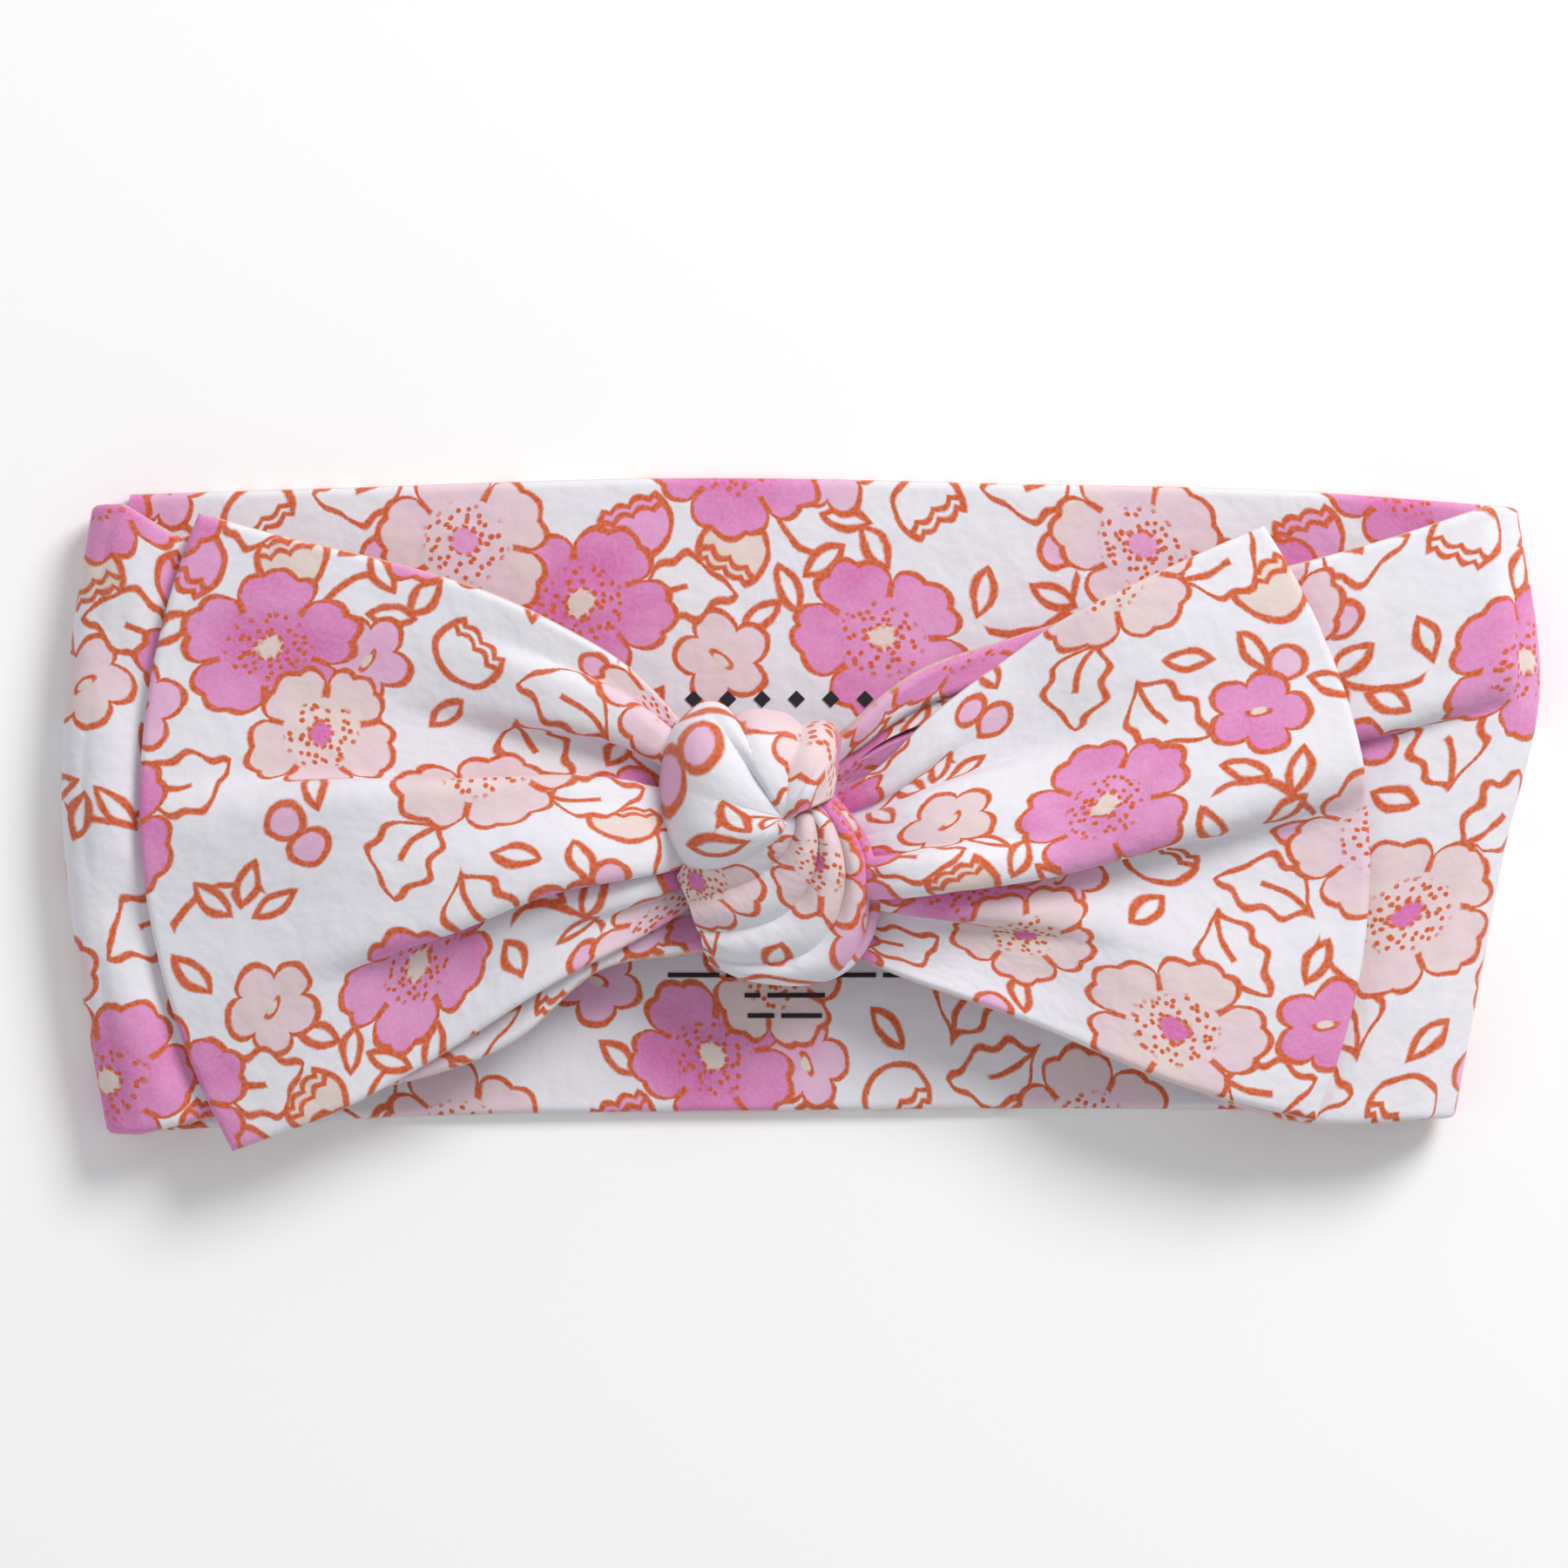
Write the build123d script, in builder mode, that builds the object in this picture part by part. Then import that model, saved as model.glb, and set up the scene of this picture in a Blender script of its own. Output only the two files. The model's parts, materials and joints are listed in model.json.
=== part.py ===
"""Knotted headband: a doubled strip of brushed knit, laid flat as a loop, its two ends
tied in front in a square knot with two spread wings.

Millimetres, +Z up. The loop lies flat on its back panel. +X runs along the band, +Y to
its upper edge, and the origin is under the middle of the whole object, on the table.
"""
import os

from build123d import *

os.makedirs("parts", exist_ok=True)

# ---- driving dimensions -------------------------------------------------------------
PLY = 0.9                    # one layer of brushed knit
PLY_GAP = 0.4                # air between the two layers of the tube
LOOP_GAP = 4.5               # air inside the flattened loop, where the head goes
THREAD = 0.3                 # width and height of a seam thread
INK = 0.1                    # thickness of the printed care marks

BACK_OUTER_Z = 0.0
BACK_INNER_Z = BACK_OUTER_Z + PLY + PLY_GAP
LOOP_LOW_Z = BACK_INNER_Z + PLY
FRONT_INNER_Z = LOOP_LOW_Z + LOOP_GAP
FRONT_OUTER_Z = FRONT_INNER_Z + PLY + PLY_GAP
FRONT_TOP_Z = FRONT_OUTER_Z + PLY
FOLD_Z = (LOOP_LOW_Z + FRONT_INNER_Z) / 2
FOLD_R = FRONT_TOP_Z - FOLD_Z           # outside radius of the two end folds

# The lines where the flat panels meet the end folds: top, middle and bottom point.
LEFT_FOLD = ((-86.0, 40.0), (-90.1, 3.4), (-84.1, -41.0))
RIGHT_FOLD = ((87.2, 39.1), (90.1, 14.0), (79.2, -39.1))

# The knot: a squashed ball of gathered fabric, left of the middle.
KNOT_CENTER = (-3.8, -3.7)
KNOT_HALF = (13.2, 16.8, 9.2)
KNOT_LOW_Z = 6.9
KNOT_CORE_SCALE = 0.62       # the core, next to the wrapped strands around it
KNOT_SPLIT_ANGLE = 42.0      # slant of the line where the two strands cross, from +X
LEFT_WING_X = -17.9          # where each wing leaves the knot and hinges
RIGHT_WING_X = 9.8

# Heights of the gathered layers beside the knot, from the loop's gap upwards.
KNOT_FRONT_INNER_TOP = 9.4
KNOT_FRONT_OUTER_LOW = 9.8
KNOT_FRONT_OUTER_TOP = 12.6
KNOT_WING_BACK_LOW = 13.0
KNOT_WING_BACK_TOP = 15.8
KNOT_WING_FRONT_LOW = 16.2
KNOT_WING_FRONT_TOP = 19.2
WING_BACK_Z = FRONT_TOP_Z + PLY_GAP     # the same layers out where the wings lie flat
WING_FRONT_Z = WING_BACK_Z + PLY + PLY_GAP
WING_TOP_Z = WING_FRONT_Z + PLY
FLAT_LEFT_X = -60.0          # outside these the layers are flat
FLAT_RIGHT_X = 48.0

REACH = 100.0                # past the object, for cutting shapes


# ---- shared outlines ----------------------------------------------------------------
def layer_profile(flat_x, knot_x, low, low_at_knot, high, high_at_knot):
    """Side view of a layer: flat outside flat_x, thicker and higher at knot_x."""
    outer_x = REACH if flat_x > knot_x else -REACH
    way = 1 if knot_x > flat_x else -1
    inner_x = knot_x + way * KNOT_HALF[0]
    with BuildSketch(Plane.XZ) as profile:
        with BuildLine():
            Polyline((flat_x, low), (outer_x, low), (outer_x, high), (flat_x, high))
            Spline((flat_x, high), (knot_x, high_at_knot), tangents=((way, 0), (way, 0)))
            Polyline((knot_x, high_at_knot), (inner_x, high_at_knot),
                     (inner_x, low_at_knot), (knot_x, low_at_knot))
            Spline((knot_x, low_at_knot), (flat_x, low), tangents=((-way, 0), (-way, 0)))
        make_face()
    return profile.sketch


def fold_layer(fold, outside, inner_radius):
    """Half a tube wall, bent around an end fold of the loop. outside is -1 or +1 in X."""
    with BuildPart() as layer:
        with BuildLine() as path:
            ThreePointArc(*[(x, y, FOLD_Z) for x, y in fold])
        start = path.line @ 0
        along = path.line % 0
        out = along.cross(Vector(0, 0, 1)) * -1
        if out.X * outside < 0:
            out = out * -1
        with BuildSketch(Plane(origin=start, x_dir=out, z_dir=along)):
            with BuildLine():
                wide = CenterArc((0, 0), inner_radius + PLY, -90, 180)
                tight = CenterArc((0, 0), inner_radius, -90, 180)
                Line(wide @ 0, tight @ 0)
                Line(wide @ 1, tight @ 1)
            make_face()
        sweep(path=path.line)
    return layer.part


with BuildSketch() as back_plan:
    with BuildLine():
        left = ThreePointArc(*LEFT_FOLD)
        bottom = ThreePointArc(left @ 1, (0, -38.4), RIGHT_FOLD[2])
        right = ThreePointArc(*reversed(RIGHT_FOLD))
        ThreePointArc(right @ 1, (-14.0, 43.0), left @ 0)
    make_face()

with BuildSketch() as left_front_plan:
    with BuildLine():
        left = ThreePointArc(*LEFT_FOLD)
        Spline(left @ 1, (-62.0, -38.2), (-35.4, -28.8), (-20.0, -16.0), (-6.0, -13.0))
        Line((-6.0, -13.0), (-6.0, 8.0))
        Spline((-6.0, 8.0), (-20.0, 11.0), (-50.0, 25.0), left @ 0)
    make_face()

with BuildSketch() as right_front_plan:
    with BuildLine():
        right = ThreePointArc(*RIGHT_FOLD)
        Spline(right @ 1, (64.0, -38.4), (35.0, -27.0), (12.0, -15.0), (-2.0, -9.0))
        Line((-2.0, -9.0), (-2.0, 7.0))
        Spline((-2.0, 7.0), (14.5, 17.5), (40.0, 25.6), (75.6, 36.0), right @ 0)
    make_face()

with BuildSketch() as left_wing_plan:
    with BuildLine():
        Spline((LEFT_WING_X, 14.2), (-28.7, 22.8), (-47.6, 30.6), (-76.4, 38.0))
        ThreePointArc((-76.4, 38.0), (-84.6, 3.4), (-72.1, -43.0))
        Spline((-72.1, -43.0), (-50.8, -33.8), (-31.0, -21.5), (LEFT_WING_X, -15.0))
        Line((LEFT_WING_X, -15.0), (LEFT_WING_X, 14.2))
    make_face()

with BuildSketch() as right_wing_plan:
    with BuildLine():
        Spline((RIGHT_WING_X, 9.0), (23.5, 19.2), (39.8, 27.3), (58.7, 36.4))
        ThreePointArc((58.7, 36.4), (72.3, -1.2), (65.0, -39.1))
        Spline((65.0, -39.1), (34.9, -29.3), (19.0, -23.8), (RIGHT_WING_X, -19.3))
        Line((RIGHT_WING_X, -19.3), (RIGHT_WING_X, 9.0))
    make_face()

# The knot's outside, and the smaller core that its strands are pulled tight around.
knot_place = Pos(KNOT_CENTER[0], KNOT_CENTER[1], KNOT_LOW_Z + KNOT_HALF[2])
knot_outside = knot_place * scale(Sphere(1), by=KNOT_HALF)
core_half = tuple(half * KNOT_CORE_SCALE for half in KNOT_HALF)
core_outside = knot_place * scale(Sphere(1), by=core_half)
strand_plane = Plane(
    origin=knot_place.position,
    z_dir=Vector(-1, 0, 0).rotate(Axis.Z, -KNOT_SPLIT_ANGLE),
)


def save(part, label):
    """Name a finished piece and write its STEP file."""
    part.label = label
    export_step(part, f"parts/{label}.step")


# ---- back panel ---------------------------------------------------------------------
with BuildPart() as back_outer_ply:
    with BuildSketch(Plane.XY.offset(BACK_OUTER_Z)):
        add(back_plan.sketch)
    extrude(amount=PLY)
save(back_outer_ply.part, "back_outer_ply")

with BuildPart() as back_inner_ply:
    with BuildSketch(Plane.XY.offset(BACK_INNER_Z)):
        add(back_plan.sketch)
    extrude(amount=PLY)
save(back_inner_ply.part, "back_inner_ply")

# The long seam that closes the tube lies between the layers, near the lower edge.
SEAM_Y = -35.0
with BuildPart() as back_seam_thread:
    with BuildSketch(Plane.XY.offset(BACK_OUTER_Z + PLY)):
        with Locations((-1.5, SEAM_Y)):
            Rectangle(158, THREAD)
    extrude(amount=THREAD)
save(back_seam_thread.part, "back_seam_thread")

# ---- care print: plain ink marks on the inside of the back panel, with no lettering ---
PRINT_X = -0.5
DIAMOND_ROW_Y = 14.6
with BuildPart() as care_print:
    with BuildSketch(Plane.XY.offset(LOOP_LOW_Z)):
        with Locations((PRINT_X, DIAMOND_ROW_Y)):
            with GridLocations(4.4, 0, 7, 1):
                RegularPolygon(1.3, 4, rotation=0)
        for row, length in enumerate((30.0, 12.0, 10.0)):
            with Locations((PRINT_X - 1.5, -20.8 - 2.6 * row)):
                SlotOverall(length, 0.9)
    extrude(amount=INK)
save(care_print.part, "care_print")

# ---- end folds of the loop ----------------------------------------------------------
OUTER_FOLD_R = FOLD_R - PLY
INNER_FOLD_R = LOOP_GAP / 2
save(fold_layer(LEFT_FOLD, -1, OUTER_FOLD_R), "left_fold_outer_ply")
save(fold_layer(LEFT_FOLD, -1, INNER_FOLD_R), "left_fold_inner_ply")
save(fold_layer(RIGHT_FOLD, 1, OUTER_FOLD_R), "right_fold_outer_ply")
save(fold_layer(RIGHT_FOLD, 1, INNER_FOLD_R), "right_fold_inner_ply")

# ---- front halves of the band, gathered towards the knot ------------------------------
LEFT_INNER = (FLAT_LEFT_X, LEFT_WING_X, FRONT_INNER_Z, FRONT_INNER_Z,
              FRONT_INNER_Z + PLY, KNOT_FRONT_INNER_TOP)
with BuildPart() as left_front_inner_ply:
    add(left_front_plan.sketch)
    extrude(amount=REACH)
    add(layer_profile(*LEFT_INNER))
    extrude(amount=REACH, dir=(0, 1, 0), both=True, mode=Mode.INTERSECT)
    add(knot_outside, mode=Mode.SUBTRACT)
save(left_front_inner_ply.part, "left_front_inner_ply")

LEFT_OUTER = (FLAT_LEFT_X, LEFT_WING_X, FRONT_OUTER_Z, KNOT_FRONT_OUTER_LOW,
              FRONT_TOP_Z, KNOT_FRONT_OUTER_TOP)
with BuildPart() as left_front_outer_ply:
    add(left_front_plan.sketch)
    extrude(amount=REACH)
    add(layer_profile(*LEFT_OUTER))
    extrude(amount=REACH, dir=(0, 1, 0), both=True, mode=Mode.INTERSECT)
    add(knot_outside, mode=Mode.SUBTRACT)
save(left_front_outer_ply.part, "left_front_outer_ply")

RIGHT_INNER = (FLAT_RIGHT_X, RIGHT_WING_X, FRONT_INNER_Z, FRONT_INNER_Z,
               FRONT_INNER_Z + PLY, KNOT_FRONT_INNER_TOP)
with BuildPart() as right_front_inner_ply:
    add(right_front_plan.sketch)
    extrude(amount=REACH)
    add(layer_profile(*RIGHT_INNER))
    extrude(amount=REACH, dir=(0, 1, 0), both=True, mode=Mode.INTERSECT)
    add(knot_outside, mode=Mode.SUBTRACT)
save(right_front_inner_ply.part, "right_front_inner_ply")

RIGHT_OUTER = (FLAT_RIGHT_X, RIGHT_WING_X, FRONT_OUTER_Z, KNOT_FRONT_OUTER_LOW,
               FRONT_TOP_Z, KNOT_FRONT_OUTER_TOP)
with BuildPart() as right_front_outer_ply:
    add(right_front_plan.sketch)
    extrude(amount=REACH)
    add(layer_profile(*RIGHT_OUTER))
    extrude(amount=REACH, dir=(0, 1, 0), both=True, mode=Mode.INTERSECT)
    add(knot_outside, mode=Mode.SUBTRACT)
save(right_front_outer_ply.part, "right_front_outer_ply")

# The tube's long seam goes on inside the two front halves, and follows their layers up.
FRONT_SEAM_Z = FRONT_INNER_Z + PLY
with BuildPart() as left_front_seam_thread:
    with BuildSketch():
        with BuildLine():
            Spline((-80.0, -36.5), (-60.0, -33.5), (-36.0, -24.5), (-18.0, -12.5))
        trace(line_width=THREAD)
    extrude(amount=REACH)
    add(layer_profile(FLAT_LEFT_X, LEFT_WING_X, FRONT_SEAM_Z, KNOT_FRONT_INNER_TOP,
                      FRONT_SEAM_Z + THREAD, KNOT_FRONT_INNER_TOP + THREAD))
    extrude(amount=REACH, dir=(0, 1, 0), both=True, mode=Mode.INTERSECT)
save(left_front_seam_thread.part, "left_front_seam_thread")

with BuildPart() as right_front_seam_thread:
    with BuildSketch():
        with BuildLine():
            Spline((76.0, -35.5), (62.0, -33.5), (35.0, -22.5), (13.0, -11.5))
        trace(line_width=THREAD)
    extrude(amount=REACH)
    add(layer_profile(FLAT_RIGHT_X, RIGHT_WING_X, FRONT_SEAM_Z, KNOT_FRONT_INNER_TOP,
                      FRONT_SEAM_Z + THREAD, KNOT_FRONT_INNER_TOP + THREAD))
    extrude(amount=REACH, dir=(0, 1, 0), both=True, mode=Mode.INTERSECT)
save(right_front_seam_thread.part, "right_front_seam_thread")

# ---- knot: a core of gathered band, and the two strands wrapped over it ----------------
with BuildPart() as knot_core:
    add(core_outside)
save(knot_core.part, "knot_core")

with BuildPart() as knot_upper_strand:
    add(knot_outside)
    add(core_outside, mode=Mode.SUBTRACT)
    split(bisect_by=strand_plane, keep=Keep.TOP)
save(knot_upper_strand.part, "knot_upper_strand")

with BuildPart() as knot_lower_strand:
    add(knot_outside)
    add(core_outside, mode=Mode.SUBTRACT)
    split(bisect_by=strand_plane, keep=Keep.BOTTOM)
save(knot_lower_strand.part, "knot_lower_strand")

# ---- wings: the two free ends of the tube, each two layers closed by an end seam --------
LEFT_WING_BACK = (FLAT_LEFT_X, LEFT_WING_X, WING_BACK_Z, KNOT_WING_BACK_LOW,
                  WING_BACK_Z + PLY, KNOT_WING_BACK_TOP)
with BuildPart() as left_wing_back_ply:
    add(left_wing_plan.sketch)
    extrude(amount=REACH)
    add(layer_profile(*LEFT_WING_BACK))
    extrude(amount=REACH, dir=(0, 1, 0), both=True, mode=Mode.INTERSECT)
save(left_wing_back_ply.part, "left_wing_back_ply")

LEFT_WING_FRONT = (FLAT_LEFT_X, LEFT_WING_X, WING_FRONT_Z, KNOT_WING_FRONT_LOW,
                   WING_TOP_Z, KNOT_WING_FRONT_TOP)
with BuildPart() as left_wing_front_ply:
    add(left_wing_plan.sketch)
    extrude(amount=REACH)
    add(layer_profile(*LEFT_WING_FRONT))
    extrude(amount=REACH, dir=(0, 1, 0), both=True, mode=Mode.INTERSECT)
save(left_wing_front_ply.part, "left_wing_front_ply")

RIGHT_WING_BACK = (FLAT_RIGHT_X, RIGHT_WING_X, WING_BACK_Z, KNOT_WING_BACK_LOW,
                   WING_BACK_Z + PLY, KNOT_WING_BACK_TOP)
with BuildPart() as right_wing_back_ply:
    add(right_wing_plan.sketch)
    extrude(amount=REACH)
    add(layer_profile(*RIGHT_WING_BACK))
    extrude(amount=REACH, dir=(0, 1, 0), both=True, mode=Mode.INTERSECT)
save(right_wing_back_ply.part, "right_wing_back_ply")

RIGHT_WING_FRONT = (FLAT_RIGHT_X, RIGHT_WING_X, WING_FRONT_Z, KNOT_WING_FRONT_LOW,
                    WING_TOP_Z, KNOT_WING_FRONT_TOP)
with BuildPart() as right_wing_front_ply:
    add(right_wing_plan.sketch)
    extrude(amount=REACH)
    add(layer_profile(*RIGHT_WING_FRONT))
    extrude(amount=REACH, dir=(0, 1, 0), both=True, mode=Mode.INTERSECT)
save(right_wing_front_ply.part, "right_wing_front_ply")

# The last stretches of the long seam, near the lower edge of each wing.
WING_SEAM_Z = WING_BACK_Z + PLY
with BuildPart() as left_wing_seam_thread:
    with BuildSketch():
        with BuildLine():
            Spline((-69.0, -38.2), (-50.0, -30.0), (-31.0, -18.0), (-19.0, -11.5))
        trace(line_width=THREAD)
    extrude(amount=REACH)
    add(layer_profile(FLAT_LEFT_X, LEFT_WING_X, WING_SEAM_Z, KNOT_WING_BACK_TOP,
                      WING_SEAM_Z + THREAD, KNOT_WING_BACK_TOP + THREAD))
    extrude(amount=REACH, dir=(0, 1, 0), both=True, mode=Mode.INTERSECT)
save(left_wing_seam_thread.part, "left_wing_seam_thread")

with BuildPart() as right_wing_seam_thread:
    with BuildSketch():
        with BuildLine():
            Spline((61.5, -35.0), (35.0, -26.0), (19.0, -20.5), (11.0, -16.5))
        trace(line_width=THREAD)
    extrude(amount=REACH)
    add(layer_profile(FLAT_RIGHT_X, RIGHT_WING_X, WING_SEAM_Z, KNOT_WING_BACK_TOP,
                      WING_SEAM_Z + THREAD, KNOT_WING_BACK_TOP + THREAD))
    extrude(amount=REACH, dir=(0, 1, 0), both=True, mode=Mode.INTERSECT)
save(right_wing_seam_thread.part, "right_wing_seam_thread")

# The end seams lie between a wing's two layers, just inside its outer edge.
with BuildPart() as left_wing_end_thread:
    with BuildSketch(Plane.XY.offset(WING_SEAM_Z)):
        with BuildLine():
            ThreePointArc((-73.5, 34.0), (-80.6, 3.2), (-70.0, -38.0))
        trace(line_width=THREAD)
    extrude(amount=THREAD)
save(left_wing_end_thread.part, "left_wing_end_thread")

with BuildPart() as right_wing_end_thread:
    with BuildSketch(Plane.XY.offset(WING_SEAM_Z)):
        with BuildLine():
            ThreePointArc((56.0, 32.0), (68.4, -1.5), (62.5, -35.0))
        trace(line_width=THREAD)
    extrude(amount=THREAD)
save(right_wing_end_thread.part, "right_wing_end_thread")
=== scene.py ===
"""Looks of the knotted headband: a doubled strip of brushed, printed knit, laid flat as a
loop, gathered and tied in front, with two spread wings.

Shapes are in millimetres of the row frame and become metres where a mesh is made. Fabric
coordinates are millimetres too: s runs along the strip and v across it.
"""

import json
import math
from types import SimpleNamespace

import bpy
import numpy as np
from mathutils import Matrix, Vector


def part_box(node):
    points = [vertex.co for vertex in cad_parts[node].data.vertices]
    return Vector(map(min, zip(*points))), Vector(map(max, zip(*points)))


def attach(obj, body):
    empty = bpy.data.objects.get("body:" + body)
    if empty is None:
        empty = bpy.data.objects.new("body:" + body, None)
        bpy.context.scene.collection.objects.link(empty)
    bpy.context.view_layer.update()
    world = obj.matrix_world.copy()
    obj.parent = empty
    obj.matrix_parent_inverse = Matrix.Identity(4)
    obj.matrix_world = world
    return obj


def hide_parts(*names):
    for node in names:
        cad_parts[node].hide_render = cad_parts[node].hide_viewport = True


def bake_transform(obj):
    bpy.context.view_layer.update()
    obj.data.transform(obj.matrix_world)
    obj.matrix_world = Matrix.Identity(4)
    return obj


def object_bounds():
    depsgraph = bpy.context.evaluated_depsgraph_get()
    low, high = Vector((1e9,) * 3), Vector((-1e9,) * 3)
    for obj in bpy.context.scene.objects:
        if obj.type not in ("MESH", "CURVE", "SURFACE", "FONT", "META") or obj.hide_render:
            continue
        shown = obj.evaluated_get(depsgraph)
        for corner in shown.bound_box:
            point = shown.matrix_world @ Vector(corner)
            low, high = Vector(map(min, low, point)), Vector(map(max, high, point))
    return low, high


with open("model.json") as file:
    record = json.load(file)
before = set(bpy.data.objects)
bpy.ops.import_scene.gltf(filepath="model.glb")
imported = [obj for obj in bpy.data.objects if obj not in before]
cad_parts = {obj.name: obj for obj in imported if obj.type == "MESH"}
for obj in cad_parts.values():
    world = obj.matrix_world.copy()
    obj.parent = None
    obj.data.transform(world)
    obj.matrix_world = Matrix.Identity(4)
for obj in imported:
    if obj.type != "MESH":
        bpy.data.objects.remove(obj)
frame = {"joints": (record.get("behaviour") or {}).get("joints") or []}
cad_low, cad_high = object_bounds()

MM = 0.001


def height_of(node):
    """Lowest and highest z of a CAD node, in millimetres."""
    low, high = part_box(node)
    return low.z / MM, high.z / MM


def joint_place(name):
    """Where a hinge of the CAD model is, in millimetres."""
    joint = next(j for j in frame["joints"] if j["name"] == name)
    return [value / MM for value in joint["pos_m"]]


# ---- sizes, from the frame --------------------------------------------------------------
WIDTH = 81.0                                   # the strip, laid flat
HALF = (height_of("back_inner_ply")[1] - height_of("back_outer_ply")[0]) / 2
BACK_Z = HALF                                  # middle of the tube's thickness in each panel
FRONT_Z = height_of("right_fold_outer_ply")[1] - HALF
FOLD_Z = (BACK_Z + FRONT_Z) / 2
FOLD_R = (FRONT_Z - BACK_Z) / 2
WING_LIFT = 0.6                                # a wing's middle lies this far over its lower ply's
WING_Z = (height_of("left_wing_back_ply")[0] + height_of("left_wing_front_ply")[0]) / 2 + WING_LIFT
LEFT_HINGE_X = joint_place("left_wing_flap")[0]
RIGHT_HINGE_X = joint_place("right_wing_flap")[0]


# ---- curves and folded cloth ------------------------------------------------------------
STEEPEST = 2.1                   # radians by which a fold leans over at most
LEAST_SPARE = 0.2                # even tight cloth has this much width to spare


def hermite(knots, values, t):
    """A smooth curve through values at rising knots, read at t."""
    knots = np.asarray(knots, float)
    values = np.asarray(values, float)
    tangents = np.gradient(values, knots, axis=0)
    t = np.asarray(t, float)
    i = np.clip(np.searchsorted(knots, t, side="right") - 1, 0, len(knots) - 2)
    gap = knots[i + 1] - knots[i]
    w = (t - knots[i]) / gap
    if values.ndim > 1:
        w = w[..., None]
        gap = gap[..., None]
    return (
        (2 * w**3 - 3 * w**2 + 1) * values[i]
        + (w**3 - 2 * w**2 + w) * gap * tangents[i]
        + (3 * w**2 - 2 * w**3) * values[i + 1]
        + (w**3 - w**2) * gap * tangents[i + 1]
    )


def along(points, t):
    """A smooth line through points, read at shares t of its length."""
    points = np.asarray(points, float)
    steps = np.linalg.norm(np.diff(points, axis=0), axis=1)
    knots = np.concatenate([[0], np.cumsum(steps)]) / steps.sum()
    return hermite(knots, points, t)


def step(low, high, x):
    """0 below low, 1 above high, smooth between."""
    w = np.clip((np.asarray(x, float) - low) / (high - low), 0, 1)
    return w * w * (3 - 2 * w)


def running(rate, v):
    """Running sum of a rate over v, starting at 0."""
    return np.concatenate([[0], np.cumsum((rate[1:] + rate[:-1]) / 2 * np.diff(v))])


def across(spacing=0.7):
    """Fabric positions over the strip's width, close together where its edges are round."""
    edge = HALF * (1 - np.cos(np.linspace(0, math.pi / 2, 6)))
    middle = np.linspace(edge[-1], WIDTH - edge[-1], int(WIDTH / spacing))
    return np.concatenate([edge[:-1], middle, WIDTH - edge[-2::-1]]) - WIDTH / 2


def slopes(v, u, pleats, ripple):
    """How the cloth's slope varies over v: one hump at each pleat, and a gentle ripple.
    A pleat is (v at u = 0, v at u = 1, half width, strength, u where it starts to fade, u where
    it is gone). The strength's sign says which way the cloth leans."""
    total = ripple * np.sin(2 * math.pi * (v / 31 + 0.15 + 0.25 * u))
    total += 0.5 * ripple * np.sin(2 * math.pi * (v / 17 - 0.3 * u))
    for near_knot, far_out, half, strength, fade, gone in pleats:
        left = 1 - step(fade, gone, u)
        place = near_knot + (far_out - near_knot) * u
        near = np.clip(np.abs(v - place) / (half * (0.55 + 0.45 * left)), 0, 1)
        total += strength * left * np.cos(math.pi / 2 * near) ** 2
    return total


def folded(v, slope, chord):
    """Where cloth points v fall when it is folded just enough to fit the chord."""
    # Halving the range: the more the cloth leans over, the less far it reaches.
    low, high = 0.0, 6.0
    for _ in range(40):
        amount = (low + high) / 2
        angle = STEEPEST * np.tanh(amount * slope / STEEPEST)
        if running(np.cos(angle), v)[-1] > chord:
            low = amount
        else:
            high = amount
    place = running(np.cos(angle), v)
    height = running(np.sin(angle), v)
    height -= (v - v[0]) / (v[-1] - v[0]) * height[-1]
    return place * chord / place[-1], height


def relaxed(grid, passes):
    """The grid with each point eased towards its neighbours; its borders stay."""
    for _ in range(passes):
        middle = (grid[:-2, 1:-1] + grid[2:, 1:-1] + grid[1:-1, :-2] + grid[1:-1, 2:]) / 4
        grid[1:-1, 1:-1] = 0.5 * grid[1:-1, 1:-1] + 0.5 * middle
    return grid


def eased(grid, passes):
    """The grid with each row eased towards the rows beside it; its first and last rows stay."""
    for _ in range(passes):
        grid[1:-1] = 0.5 * grid[1:-1] + 0.25 * (grid[:-2] + grid[2:])
    return grid


def distance_run(grid):
    """How far along the cloth each row lies, on average over its width."""
    steps = np.linalg.norm(np.diff(grid, axis=0), axis=2).mean(axis=1)
    return np.concatenate([[0], np.cumsum(steps)])


def gathered(bottom, top, side, bulge, base, pleats, ripple, flat, taken, u, v):
    """Mid-surface of cloth gathered at u = 0 and spread at u = 1, between two outlines.
    side is +1 where the cloth runs towards -X. The others are (u, value) knots: how far its
    rows bow outwards (bulge), how low they lie (base), what share of their folds' height they
    keep (flat), and what share of the spare width the folds take up, while the knit shrinks
    by the rest (taken)."""
    low_edge = along(bottom, u)
    high_edge = along(top, u)
    grid = np.zeros((len(u), len(v), 3))
    for i, share in enumerate(u):
        span = high_edge[i] - low_edge[i]
        chord = np.linalg.norm(span)
        out = np.array([-span[1], span[0]]) / chord * side
        fitted = WIDTH - hermite(*taken, share) * max(WIDTH - chord, LEAST_SPARE)
        place, height = folded(v, slopes(v, share, pleats, ripple), fitted)
        c = (place / fitted)[:, None]
        grid[i, :, :2] = low_edge[i] + span * c
        grid[i, :, :2] += out * hermite(*bulge, share) * 4 * c * (1 - c)
        grid[i, :, 2] = hermite(*base, share) + hermite(*flat, share) * (height - height.min())
    return grid


# ---- room under cloth -------------------------------------------------------------------
CELL = 1.5                       # a height map's square cells
MAP_CORNER = (-110.0, -60.0)
MAP_CELLS = (147, 80)            # enough for the whole loop
OPEN = 14.0                      # its height where nothing hangs


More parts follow.
